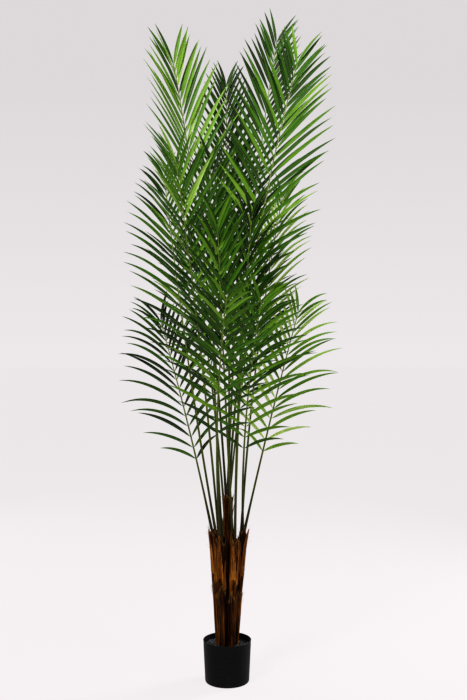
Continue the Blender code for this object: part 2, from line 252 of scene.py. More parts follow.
# %% The leaf material
leaf_skin, tree, shader = surface("palm_leaf", 0.5, 0.25)
mottle = grain(tree, 9.0, (1, 1, 1), 2.0)
# The frond's tone holds painted shade and painted light as well as its own green
lightness = maths(tree, "ADD", own(tree, "tone"), maths(tree, "MULTIPLY", own(tree, "shade"), 0.60))
lightness = maths(tree, "ADD", lightness, maths(tree, "MULTIPLY", mottle, 0.30))
lightness = maths(tree, "SUBTRACT", lightness, 0.45, clamp=True)
green = ramp(
    tree,
    lightness,
    [
        (0.00, (0.004, 0.014, 0.002)),
        (0.30, (0.019, 0.060, 0.003)),
        (0.55, (0.052, 0.150, 0.005)),
        (0.78, (0.160, 0.310, 0.020)),
        (1.00, (0.430, 0.580, 0.170)),
    ],
)
line_place = {
    "X": maths(tree, "MULTIPLY", own(tree, "across"), 5.0),
    "Y": maths(tree, "MULTIPLY", own(tree, "along"), 2.2),
    "Z": maths(tree, "MULTIPLY", own(tree, "shade"), 40.0),
}
line_place = add(tree, "ShaderNodeCombineXYZ", line_place).outputs[0]
lines = {"Vector": line_place, "Scale": 1.6, "Detail": 4.0}
lines = add(tree, "ShaderNodeTexNoise", lines).outputs["Fac"]
dark_lines = maths(tree, "MULTIPLY", maths(tree, "SUBTRACT", lines, 0.46, clamp=True), 2.6)
green = blend_colours(tree, dark_lines, green, (0.010, 0.032, 0.002))
off_rib = maths(tree, "ABSOLUTE", own(tree, "across"))
rib = maths(tree, "SUBTRACT", 1.0, maths(tree, "MULTIPLY", off_rib, 7.0), clamp=True)
green = blend_colours(tree, maths(tree, "MULTIPLY", rib, 0.45), green, (0.22, 0.34, 0.07))
tip_share = maths(tree, "MULTIPLY", maths(tree, "SUBTRACT", own(tree, "along"), 0.93), 9.0, clamp=True)
green = blend_colours(tree, maths(tree, "MULTIPLY", tip_share, 0.5), green, (0.20, 0.17, 0.04))
tree.links.new(green, shader.inputs["Base Color"])
veins = maths(tree, "SINE", maths(tree, "MULTIPLY", own(tree, "across"), 42.0))
vein_bump = add(tree, "ShaderNodeBump", {"Strength": 0.25, "Distance": 0.0004, "Height": veins})
tree.links.new(vein_bump.outputs["Normal"], shader.inputs["Normal"])
gloss = maths(tree, "ADD", 0.40, maths(tree, "MULTIPLY", mottle, 0.18))
tree.links.new(gloss, shader.inputs["Roughness"])

# %% [markdown]
# ## The stem's surface
#
# A stem is brown and scurfy where it leaves its sheath, olive green higher up, and pale grey-green
# between the leaflets. Fine lengthwise streaks come from noise that is stretched upwards.

# %% The stem material
stem_skin, tree, shader = surface("palm_stem", 0.55, 0.18)
height = own(tree, "along")
stem_colour = ramp(
    tree,
    height,
    [
        (0.00, (0.030, 0.020, 0.006)),
        (0.09, (0.028, 0.034, 0.006)),
        (0.25, (0.060, 0.078, 0.007)),
        (0.50, (0.105, 0.140, 0.020)),
        (1.00, (0.190, 0.250, 0.050)),
    ],
)
streak = grain(tree, 1.0, (420, 420, 14), 3.0)
shadow = maths(tree, "MULTIPLY", maths(tree, "SUBTRACT", streak, 0.42, clamp=True), 2.2)
stem_colour = blend_colours(tree, shadow, stem_colour, (0.020, 0.026, 0.006))
tree.links.new(stem_colour, shader.inputs["Base Color"])
stem_bump = add(tree, "ShaderNodeBump", {"Strength": 0.35, "Distance": 0.0006, "Height": streak})
tree.links.new(stem_bump.outputs["Normal"], shader.inputs["Normal"])

# %% [markdown]
# ## Reading a frond back from the solid model
#
# In the solid model a leaflet is a spike with a square middle: its tip touches four points, those
# four touch the rachis. So a point with just four far neighbours is a tip, and its neighbours give
# the leaflet's middle, width and turn. What is left is the stem, a tube of three-sided rings, which
# is walked ring by ring from its lowest end. This keeps the fine leaflets exactly where the solid
# ones are.

# %% Reading the fronds
TIP_REACH = 0.03  # a leaflet's tip is further than this from its middle


def neighbours(vert):
    return [edge.other_vert(vert) for edge in vert.link_edges]


def centre_of(verts):
    return sum((v.co for v in verts), Vector()) / len(verts)


def find_leaflets(work):
    """[tip, middle verts, foot verts] for each leaflet of a frond."""
    found = []
    for vert in work.verts:
        around = neighbours(vert)
        if len(around) == 4 and min((w.co - vert.co).length for w in around) > TIP_REACH:
            foot = {w for m in around for w in neighbours(m)} - set(around) - {vert}
            found.append((vert, around, foot))
    return found


def walk_stem(work, leaflets):
    """(centre, half width) of each ring of the stem, from its foot to its tip."""
    leafy = {v for tip, middle, _ in leaflets for v in (tip, *middle)}
    stem = {v for v in work.verts if v not in leafy}
    ring = set(sorted(stem, key=lambda v: v.co.z)[:3])
    seen, rings = set(ring), []
    while ring:
        middle = centre_of(ring)
        rings.append((middle, max((v.co - middle).length for v in ring) * 0.88))
        ring = {w for v in ring for w in neighbours(v) if w in stem and w not in seen}
        seen |= ring
    return rings


def read_frond(node):
    """The stem's rings, and each leaflet's foot, middle, tip, half width and upward way."""
    work = bmesh.new()
    work.from_mesh(node.data)
    bmesh.ops.remove_doubles(work, verts=work.verts, dist=2e-5)
    found = find_leaflets(work)
    uses = Counter(v for _, _, foot in found for v in foot)
    leaflets, up = [], Vector((0, 0, 1))
    for tip, middle, foot in found:
        near = sorted(middle, key=lambda v: (v.co - middle[0].co).length)
        across = near[2].co - near[0].co
        heading = (tip.co - centre_of(foot)).normalized()
        upper = across.cross(heading).normalized()
        ridge = [v for v in foot if uses[v] == 2]
        if len(ridge) == 2:
            up = centre_of(ridge) - centre_of(foot)
        if upper.dot(up) < 0:
            upper.negate()
        half_width = across.length / 2
        leaflets.append((centre_of(foot), centre_of(middle), tip.co.copy(), half_width, upper))
    rings = walk_stem(work, found)
    work.free()
    return rings, leaflets


fronds = {name: read_frond(node) for name, node in nodes.items() if name.startswith("frond_")}
print("fronds:", len(fronds), "leaflets:", sum(len(leaflets) for _, leaflets in fronds.values()))

# %% [markdown]
# ## The guides
#
# Geometry Nodes will grow the blades, and it needs a line for each: from the rachis, through the
# middle, to the tip. A leaflet leaves its rachis straight, arches, and lets its tip hang, so its
# line is a parabola through the three known points, with a little more sag near the end. Each point
# of a line also carries which way the blade's width runs, slowly twisting.

# %% Guide lines
GUIDE_STEPS = 7
WIDEST_AT = 0.36  # where the solid leaflet's middle is, of its length
EXTRA_DROOP = 0.045  # of its length, at the very tip
STEM_FLARE = 1.22  # the stem's foot is this much wider

# Tone of each frond, partly its own green and partly painted light and shade: 0 is painted deep
# shade green, 1 is pale yellow-green painted as if in strong light
FROND_TONE_AND_LIGHT = {
    "top_left": 0.56,
    "top_right": 0.50,
    "front": 0.48,
    "front_right": 0.46,
    "low_left": 0.08,
    "low_right": 0.82,
    "left_front": 0.58,
    "left": 0.36,
    "right": 0.84,
    "top_back_right": 0.24,
    "top_back": 0.14,
    "inner_left": 0.26,
    "inner_right": 0.22,
    "inner_front": 0.44,
    "back_left": 0.20,
    "back_right": 0.30,
    "back_tall": 0.22,
}


def leaflet_line(foot, middle, tip, half_width, upper, rng):
    """Points and width ways of one leaflet's guide."""
    sag = ((tip - foot) - (middle - foot) / WIDEST_AT) / (1 - WIDEST_AT)
    heading = tip - foot - sag
    length = heading.length
    twist = rng.uniform(-0.35, 0.35)
    sway = rng.uniform(-0.012, 0.012) * length
    points, ways = [], []
    for step in range(GUIDE_STEPS):
        t = step / (GUIDE_STEPS - 1)
        tangent = (heading + 2 * t * sag).normalized()
        side = upper.cross(tangent).normalized()
        drop = Vector((0, 0, -EXTRA_DROOP * length * t**3))
        points.append(foot + heading * t + sag * t * t + drop + side * sway * math.sin(math.pi * t))
        ways.append(Matrix.Rotation(twist * t, 3, tangent) @ side)
    return points, ways


def frond_guides(name, rings, leaflets):
    """One mesh of lines: the stem first, then each leaflet."""
    rng = random.Random(name)
    # The frond's tone: its own green with painted shade or painted light on top
    tone = FROND_TONE_AND_LIGHT.get(name.removeprefix("frond_"), 0.4)
    fullness = 1.04 if "_top_" in name else 0.90  # the tall fronds have the broadest leaflets
    points = [centre for centre, _ in rings]
    widths = [half for _, half in rings]
    widths[0] *= STEM_FLARE
    ways = [Vector((1, 0, 0))] * len(points)
    edges = [(k, k + 1) for k in range(len(points) - 1)]
    leafy = [0.0] * len(points)
    shades = [0.5] * len(points)
    for foot, middle, tip, half_width, upper in leaflets:
        line, line_ways = leaflet_line(foot, middle, tip, half_width, upper, rng)
        start = len(points)
        edges += [(start + k, start + k + 1) for k in range(len(line) - 1)]
        points += line
        ways += line_ways
        widths += [half_width * fullness * rng.uniform(0.92, 1.08)] * len(line)
        leafy += [1.0] * len(line)
        shades += [rng.random()] * len(line)
    guide = mesh_object(f"guide_{name}", points, [], edges)
    give(guide.data, "leafy", "FLOAT", leafy)
    give(guide.data, "half_width", "FLOAT", widths)
    give(guide.data, "shade", "FLOAT", shades)
    give(guide.data, "tone", "FLOAT", [tone] * len(points))
    give(guide.data, "width_way", "FLOAT_VECTOR", ways)
    return guide


# %% [markdown]
# ## The frond as a Geometry Nodes tree
#
# The tree splits the guide into leaflets and stem. Each leaflet's line is smoothed and cut into even
# steps, and a folded lens shape is swept along it, wide a third of the way up and drawn to a fine
# point. The stem's line is swept with a plain round section. The same tree grows all the fronds.

# %% The frond tree
LEAFLET_SHAPE = [(0.0, 0.0), (0.02, 0.3), (0.1, 0.58), (0.24, 0.9), (0.38, 1.0), (0.6, 0.86)]
LEAFLET_SHAPE += [(0.8, 0.52), (0.93, 0.2), (1.0, 0.0)]


def new_tree(name, inputs):
    """An empty Geometry Nodes tree with named inputs: (name, socket type, default)."""
    tree = bpy.data.node_groups.new(name, "GeometryNodeTree")
    tree.interface.new_socket("Geometry", in_out="INPUT", socket_type="NodeSocketGeometry")
    for label, kind, default in inputs:
        socket = tree.interface.new_socket(label, in_out="INPUT", socket_type=kind)
        if default is not None:
            socket.default_value = default
    tree.interface.new_socket("Geometry", in_out="OUTPUT", socket_type="NodeSocketGeometry")
    return tree, tree.nodes.new("NodeGroupInput").outputs


def named(tree, name, kind="FLOAT"):
    node = add(tree, "GeometryNodeInputNamedAttribute", {"Name": name}, data_type=kind)
    return node.outputs["Attribute"]


def keep(tree, geometry, name, value):
    """Stores a number on each point under a name that materials can read."""
    values = {"Geometry": geometry, "Name": name, "Value": value}
    return add(tree, "GeometryNodeStoreNamedAttribute", values, data_type="FLOAT").outputs[0]


def leaflet_section(tree, fold, thickness):
    """A lens bent into a shallow V, one unit to each side."""
    ring = add(tree, "GeometryNodeCurvePrimitiveCircle", {"Resolution": 8, "Radius": 1.0}, mode="RADIUS")
    place = add(tree, "GeometryNodeInputPosition").outputs[0]
    parts = add(tree, "ShaderNodeSeparateXYZ", {0: place}).outputs
    wall = maths(tree, "MULTIPLY", parts["Y"], thickness)
    bent = maths(tree, "MULTIPLY", maths(tree, "ABSOLUTE", parts["X"]), fold)
    flat = add(tree, "ShaderNodeCombineXYZ", {"X": parts["X"], "Y": maths(tree, "ADD", wall, bent)})
    named_ring = keep(tree, ring.outputs[0], "across", parts["X"])
    moved = add(tree, "GeometryNodeSetPosition", {"Geometry": named_ring, "Position": flat.outputs[0]})
    return moved.outputs[0]


def frond_tree():
    tree, given = new_tree(
        "palm_frond",
        [
            ("Steps along a leaflet", "NodeSocketInt", 15),
            ("Fold", "NodeSocketFloat", 0.46),
            ("Thickness", "NodeSocketFloat", 0.075),
            ("Stem step", "NodeSocketFloat", 0.02),
            ("Stem sides", "NodeSocketInt", 10),
            ("Leaf material", "NodeSocketMaterial", None),
            ("Stem material", "NodeSocketMaterial", None),
        ],
    )
    is_leaf = maths(tree, "GREATER_THAN", named(tree, "leafy"), 0.5)
    split = add(tree, "GeometryNodeSeparateGeometry", {0: given["Geometry"], 1: is_leaf}, domain="POINT")
    share = add(tree, "GeometryNodeSplineParameter").outputs["Factor"]

    lines = add(tree, "GeometryNodeMeshToCurve", {0: split.outputs["Selection"]}).outputs[0]
    lines = add(tree, "GeometryNodeCurveSplineType", {0: lines}, spline_type="CATMULL_ROM").outputs[0]
    steps = {"Curve": lines, "Count": given["Steps along a leaflet"]}
    lines = add(tree, "GeometryNodeResampleCurve", steps, mode="COUNT").outputs[0]
    lines = keep(tree, lines, "along", share)
    ways = {"Curve": lines, "Normal": named(tree, "width_way", "FLOAT_VECTOR")}
    lines = add(tree, "GeometryNodeSetCurveNormal", ways, mode="FREE").outputs[0]
    shape = add(tree, "ShaderNodeFloatCurve", {"Value": named(tree, "along")})
    points = shape.mapping.curves[0].points
    while len(points) < len(LEAFLET_SHAPE):
        points.new(0.5, 0.5)
    for point, (x, y) in zip(points, LEAFLET_SHAPE):
        point.location = (x, y)
    shape.mapping.update()
    width = maths(tree, "MULTIPLY", shape.outputs[0], named(tree, "half_width"))
    section = leaflet_section(tree, given["Fold"], given["Thickness"])
    sweep_inputs = {"Curve": lines, "Profile Curve": section, "Scale": width}
    blades = add(tree, "GeometryNodeCurveToMesh", sweep_inputs).outputs[0]
    blades = add(tree, "GeometryNodeMergeByDistance", {"Geometry": blades, "Distance": 2e-6}).outputs[0]

    line = add(tree, "GeometryNodeMeshToCurve", {0: split.outputs["Inverted"]}).outputs[0]
    line = add(tree, "GeometryNodeCurveSplineType", {0: line}, spline_type="CATMULL_ROM").outputs[0]
    steps = {"Curve": line, "Length": given["Stem step"]}
    line = add(tree, "GeometryNodeResampleCurve", steps, mode="LENGTH").outputs[0]
    line = keep(tree, line, "along", share)
    sides = {"Resolution": given["Stem sides"], "Radius": 1.0}
    round_section = add(tree, "GeometryNodeCurvePrimitiveCircle", sides, mode="RADIUS").outputs[0]
    sweep_inputs = {"Curve": line, "Profile Curve": round_section, "Scale": named(tree, "half_width")}
    sweep_inputs["Fill Caps"] = True
    stalk = add(tree, "GeometryNodeCurveToMesh", sweep_inputs).outputs[0]

    both = add(tree, "GeometryNodeJoinGeometry")
    tree.links.new(stalk, both.inputs[0])
    tree.links.new(blades, both.inputs[0])
    whole = add(tree, "GeometryNodeRealizeInstances", {0: both.outputs[0]}).outputs[0]
    whole = add(tree, "GeometryNodeSetMaterial", {0: whole, "Material": given["Stem material"]}).outputs[0]
    leafy = maths(tree, "GREATER_THAN", named(tree, "leafy"), 0.5)
    leaves = {0: whole, "Selection": leafy, "Material": given["Leaf material"]}
    whole = add(tree, "GeometryNodeSetMaterial", leaves).outputs[0]
    tree.links.new(whole, tree.nodes.new("NodeGroupOutput").inputs[0])
    return tree


# %% Growing a tree on a guide


def grow(name, guide, tree, values):
    """Runs a tree on a guide with these inputs and keeps the result as a plain mesh object."""
    modifier = guide.modifiers.new("grow", "NODES")
    modifier.node_group = tree
    for item in tree.interface.items_tree:
        if item.in_out == "INPUT" and item.name in values:
            modifier[item.identifier] = values[item.name]
    graph = bpy.context.evaluated_depsgraph_get()
    mesh = bpy.data.meshes.new_from_object(guide.evaluated_get(graph))
    mesh.name = name
    guide.modifiers.remove(modifier)
    bpy.data.objects.remove(guide)
    piece = bpy.data.objects.new(name, mesh)
    bpy.context.scene.collection.objects.link(piece)
    return piece


def smooth(piece, degrees=30.0):
    """Smooth shading, with edges sharper than this left crisp."""
    piece.data.polygons.foreach_set("use_smooth", [True] * len(piece.data.polygons))
    piece.data.set_sharp_from_angle(angle=math.radians(degrees))


def stand_for(piece, node):
    """The piece takes a solid node's place on the palm."""
    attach(piece, "root")
    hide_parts(node)


# %% The fronds
FROND_TREE = frond_tree()
for name, (rings, leaflets) in fronds.items():
    guide = frond_guides(name, rings, leaflets)
    frond = grow(f"{name}_leaves", guide, FROND_TREE, {"Leaf material": leaf_skin, "Stem material": stem_skin})
    smooth(frond)
    stand_for(frond, name)
    print(name, "stem rings", len(rings), "leaflets", len(leaflets), "faces", len(frond.data.polygons))

# %% [markdown]
# ## Canes
#
# Six woody stems stand in the pot. A palm cane is ringed where old leaves dropped off, so each is a
# tube whose outline swells a little at every ring. The line it follows is read from the solid cane:
# the middle of its lowest and of its highest points.

# %% The canes
RING_SPACING = 0.021
RING_SWELL = 0.0005
CANE_SIDES = 28


def distinct_points(node):
    """A solid node's corners, once each."""
    return [Vector(p) for p in {tuple(round(c, 5) for c in v.co) for v in node.data.vertices}]


def ends_of(points):
    """The middle of the lowest points and of the highest."""
    ends = []
    for level in (min(p.z for p in points), max(p.z for p in points)):
        ring = [p for p in points if abs(p.z - level) < 0.001]
        ends.append(sum(ring, Vector()) / len(ring))
    return ends


class Cane:
    """The straight line that a cane follows."""

    def __init__(self, name):
        self.name = name
        self.foot, self.head = ends_of(distinct_points(nodes[f"trunk_{name}"]))

    def at(self, z):
        return self.foot.lerp(self.head, (z - self.foot.z) / (self.head.z - self.foot.z))


def closed_tube(rings, sides):
    """Points and outward faces of a tube through (centre, radius) rings, closed by a fan at each end."""
    points = []
    for centre, radius in rings:
        for k in range(sides):
            turn = 2 * math.pi * k / sides
            points.append(centre + Vector((math.cos(turn), math.sin(turn), 0)) * radius)
    faces = []
    for row in range(len(rings) - 1):
        for k in range(sides):
            a, b = row * sides + k, row * sides + (k + 1) % sides
            faces.append((a, b, b + sides, a + sides))
    low, high = len(points), len(points) + 1
    points += [rings[0][0], rings[-1][0]]
    top = (len(rings) - 1) * sides
    for k in range(sides):
        faces.append((low, (k + 1) % sides, k))
        faces.append((high, top + k, top + (k + 1) % sides))
    return points, faces


def cane_rings(cane):
    """Rings with a swelling at every leaf scar."""
    length = cane.head.z - cane.foot.z
    count = int(length / (RING_SPACING / 6))
    rings = []
    for k in range(count + 1):
        z = cane.foot.z + length * k / count
        beat = (z / RING_SPACING) % 1.0
        swell = RING_SWELL * max(0.0, 1 - abs(beat - 0.5) * 6)
        rings.append((cane.at(z), 0.0100 + swell))
    return rings


CANE_NAMES = [name.removeprefix("trunk_") for name in nodes if name.startswith("trunk_")]
canes = {name: Cane(name) for name in CANE_NAMES}

cane_skin, tree, shader = surface("palm_cane", 0.75, 0.1)
fibre = grain(tree, 1.0, (520, 520, 16), 4.0)
cane_colour = ramp(tree, fibre, [(0.3, (0.010, 0.005, 0.002)), (0.75, (0.110, 0.052, 0.014))])
tree.links.new(cane_colour, shader.inputs["Base Color"])
cane_bump = add(tree, "ShaderNodeBump", {"Strength": 0.6, "Distance": 0.0008, "Height": fibre})
tree.links.new(cane_bump.outputs["Normal"], shader.inputs["Normal"])

for name, cane in canes.items():
    points, faces = closed_tube(cane_rings(cane), CANE_SIDES)
    piece = mesh_object(f"cane_{name}", points, faces)
    piece.data.materials.append(cane_skin)
    smooth(piece, 50)
    stand_for(piece, f"trunk_{name}")
print("canes:", {name: round(cane.head.z, 3) for name, cane in canes.items()})

# %% [markdown]
# ## The husks: dry sheaths with torn tops
#
# The foot of every palm leaf is a sheath that wraps the cane. Dead ones stay on as a husk: a stiff
# sheet of upright fibres whose top tears into points. Each husk here is a sheet wound once round its
# cane, with its two upright edges lapping. Fine ridges run up it, and each point of the top leans out
# from the cane. The sheet gets a wall, so it is a closed thin solid like the real one.
#
# Every point is told how high its ridge is and how near the torn top it lies. The material uses the
# first for painted light and shade: the ridges keep the fibre's orange-brown with a painted highlight,
# and the grooves are painted nearly black as painted shade. The threads use the second.

# %% A husk
HUSK_COLUMNS = 96
HUSK_ROWS = 34
HUSK_LAP = math.radians(384)  # once round and a bit more
HUSK_WALL = 0.0009
RIDGE_HEIGHT = 0.0015
TUCK_HEIGHT = 0.06  # an upper husk's foot draws in over this height, to go inside the lower one
RIDGES = 5.2  # about a third of how many stand side by side round a husk


def sheet_solid(outer, inner, columns, rows):
    """Points and faces of a thin closed solid between two (columns + 1) by (rows + 1) sheets."""
    points = outer + inner
    step, back = rows + 1, len(outer)
    faces = []
    for c in range(columns):
        for r in range(rows):
            a, b = c * step + r, (c + 1) * step + r
            faces.append((a, b, b + 1, a + 1))
            faces.append((back + a, back + a + 1, back + b + 1, back + b))
        low, high = c * step, c * step + rows
        faces.append((low + step, low, back + low, back + low + step))
        faces.append((high, high + step, back + high + step, back + high))
    for r in range(rows):
        a, b = r, columns * step + r
        faces.append((a, a + 1, back + a + 1, back + a))
        faces.append((b + 1, b, back + b, back + b + 1))
    return points, faces


def fibre_ridge(angle, z, seed):
    """0 in a groove, 1 on a ridge. Ridges run upwards and wander a little."""
    lean = angle + 0.06 * math.sin(z * 9 + seed)
    place = Vector((math.cos(lean) * RIDGES, math.sin(lean) * RIDGES, z * 5 + seed * 7.3))
    coarse = 0.5 + 0.5 * noise.noise(place)
    fine = 0.5 + 0.5 * noise.noise(place * 2.7)
    return min(1.0, max(0.0, (coarse * 0.7 + fine * 0.3 - 0.28) * 2.2))


class Husk:
    """Points, faces and each point's numbers, gathered for one piece."""

    def __init__(self):
        self.points, self.faces = [], []
        self.ridge, self.fray, self.shade = [], [], []

    def add_sheet(self, outer, inner, columns, rows, ridge, fray, shade):
        points, faces = sheet_solid(outer, inner, columns, rows)
        start = len(self.points)
        self.points += points
        self.faces += [tuple(start + k for k in face) for face in faces]
        # The inside of the wall gets less of the ridge number, so painted shade darkens it
        self.ridge += ridge + [value * 0.3 for value in ridge]
        self.fray += fray + [0.0] * len(inner)
        self.shade += [shade] * len(points)


def torn_top(rng, point_height, count):
    """A function from share of the way round to how far the top stands above the rim."""
    points = [(0.5, 0.13, point_height)]
    points += [(rng.random(), rng.uniform(0.04, 0.11), rng.uniform(0.3, 0.8) * point_height) for _ in range(count)]
    seed = rng.uniform(0, 90)

    def height(share):
        tall = max(h * max(0.0, 1 - abs(share - place) / half) ** 0.8 for place, half, h in points)
        teeth = abs(noise.noise(Vector((share * 34, seed, 0)))) * 0.020
        return tall + teeth + 0.012 * noise.noise(Vector((share * 9, seed, 5)))

    return height


def wind_husk(husk, cane, z_low, z_rim, point_angle, radius, tuck, point_height, lean_out, rng, shade):
    """Adds one sheet wound round a cane."""
    top = torn_top(rng, point_height, 5)
    seed = rng.uniform(0, 20)
    outer, inner, ridge, fray = [], [], [], []
    for c in range(HUSK_COLUMNS + 1):
        share = c / HUSK_COLUMNS
        angle = point_angle + (share - 0.5) * HUSK_LAP
        rim = z_rim + top(share)
        out = Vector((math.cos(angle), math.sin(angle), 0))
        flare = lean_out * (0.35 + 1.3 * abs(noise.noise(Vector((share * 7, seed, 1)))))
        for r in range(HUSK_ROWS + 1):
            v = (r / HUSK_ROWS) ** 0.92
            z = z_low + (rim - z_low) * v
            near_top = max(0.0, 1 - (rim - z) / 0.05)
            bump = fibre_ridge(angle, z, seed)
            wall_radius = radius + share * 0.0013 + flare * near_top**2 + RIDGE_HEIGHT * (bump - 0.5)
            wall_radius -= tuck * max(0.0, 1 - (z - z_low) / TUCK_HEIGHT)
            wall = HUSK_WALL * (1 - 0.6 * near_top)
            outer.append(cane.at(z) + out * wall_radius)
            inner.append(cane.at(z) + out * (wall_radius - wall))
            ridge.append(bump)
            fray.append(near_top)
    husk.add_sheet(outer, inner, HUSK_COLUMNS, HUSK_ROWS, ridge, fray, shade)


# %% [markdown]
# ## Boots: the broad triangular flaps
#
# Over the husks lie the stubs of older leaves, called boots. A boot is broad where it was joined and
# narrows upwards to a dry point, which curls away from the cane. It is paler and smoother than the
# husk under it. Each is a curved strip with a wall, bent round its cane.

# %% A boot
BOOT_COLUMNS = 16
BOOT_ROWS = 26


def lay_boot(husk, cane, angle, z_low, length, width, curl, radius, rng, shade):
    """Adds one tapering strip that hugs the cane and curls out at its tip."""
    seed = rng.uniform(0, 20)
    skew = rng.uniform(-0.25, 0.25)
    outer, inner, ridge, fray = [], [], [], []
    for c in range(BOOT_COLUMNS + 1):
        side = 2 * c / BOOT_COLUMNS - 1
        for r in range(BOOT_ROWS + 1):
            v = r / BOOT_ROWS
            ragged = 0.10 * noise.noise(Vector((v * 11, seed, side)))
            half = 0.5 * width * (1 - v) ** 0.75 * (1 + ragged) + 0.0006
            turn = angle + (side * half) / radius + skew * v * v
            out = Vector((math.cos(turn), math.sin(turn), 0))
            z = z_low + length * v - 0.006 * abs(side) ** 1.5 * (1 - v)
            bump = fibre_ridge(turn * 1.4, z, seed)
            lift = curl * v**3 + 0.0012 * side * side * (1 - v) + 0.0007 * (bump - 0.5)
            lift -= 0.0038 * max(0.0, 1 - v / 0.14)  # the foot comes out from under the husk
            outer.append(cane.at(z) + out * (radius + lift))
            inner.append(cane.at(z) + out * (radius + lift - 0.0008 * (1 - 0.6 * v)))
            # The ridge number paints the shade of the boot's grooves; its floor of 0.45 makes that painted shade
            # weaker, so the boot is paler
            ridge.append(0.45 + 0.55 * bump)
            fray.append(0.9 * v**3)
    husk.add_sheet(outer, inner, BOOT_COLUMNS, BOOT_ROWS, ridge, fray, shade)


# %% [markdown]
# ## The husk's surface
#
# Dry palm fibre is brown and rusty orange. The colour goes up with the ridge: painted shade makes the
# grooves dark brown to nearly black and a painted highlight makes the ridges rusty orange. It is
# broken by fine upright streaks, and turns to pale straw at the torn tops.

# %% The husk material
husk_skin, tree, shader = surface("palm_husk", 0.7, 0.08)
streaks = grain(tree, 1.0, (900, 900, 22), 4.0, 0.3)
blotch = grain(tree, 26.0, (1, 1, 0.35), 3.0)
# Painted light and shade: the ridge number darkens the grooves and lightens the ridges
level = maths(tree, "MULTIPLY", own(tree, "ridge"), 0.80)
level = maths(tree, "ADD", level, maths(tree, "MULTIPLY", maths(tree, "SUBTRACT", streaks, 0.5), 0.9))
level = maths(tree, "ADD", level, maths(tree, "MULTIPLY", maths(tree, "SUBTRACT", blotch, 0.5), 0.9))
level = maths(tree, "ADD", level, maths(tree, "MULTIPLY", own(tree, "shade"), 0.5))
level = maths(tree, "SUBTRACT", level, 0.22, clamp=True)
husk_colour_and_shade = ramp(
    tree,
    level,
    [
        (0.00, (0.008, 0.003, 0.001)),
        (0.30, (0.040, 0.014, 0.003)),
        (0.55, (0.165, 0.058, 0.008)),
        (0.80, (0.340, 0.140, 0.022)),
        (1.00, (0.520, 0.280, 0.085)),
    ],
)
pale = maths(tree, "MULTIPLY", maths(tree, "SUBTRACT", own(tree, "fray"), 0.72, clamp=True), 1.8)
husk_colour_and_shade = blend_colours(tree, pale, husk_colour_and_shade, (0.260, 0.150, 0.055))
tree.links.new(husk_colour_and_shade, shader.inputs["Base Color"])
husk_bump = add(tree, "ShaderNodeBump", {"Strength": 0.7, "Distance": 0.0007, "Height": streaks})
tree.links.new(husk_bump.outputs["Normal"], shader.inputs["Normal"])

# %% [markdown]
# ## Threads
#
# Torn fibre frays into threads that stick out at all angles, most of them at the tops. They are many
# and alike, so Geometry Nodes scatters them: points on the husk, closer together where it is more
# frayed, and on each point one curved, pointed thread of a random length, leaning up and outwards.

# %% The thread tree


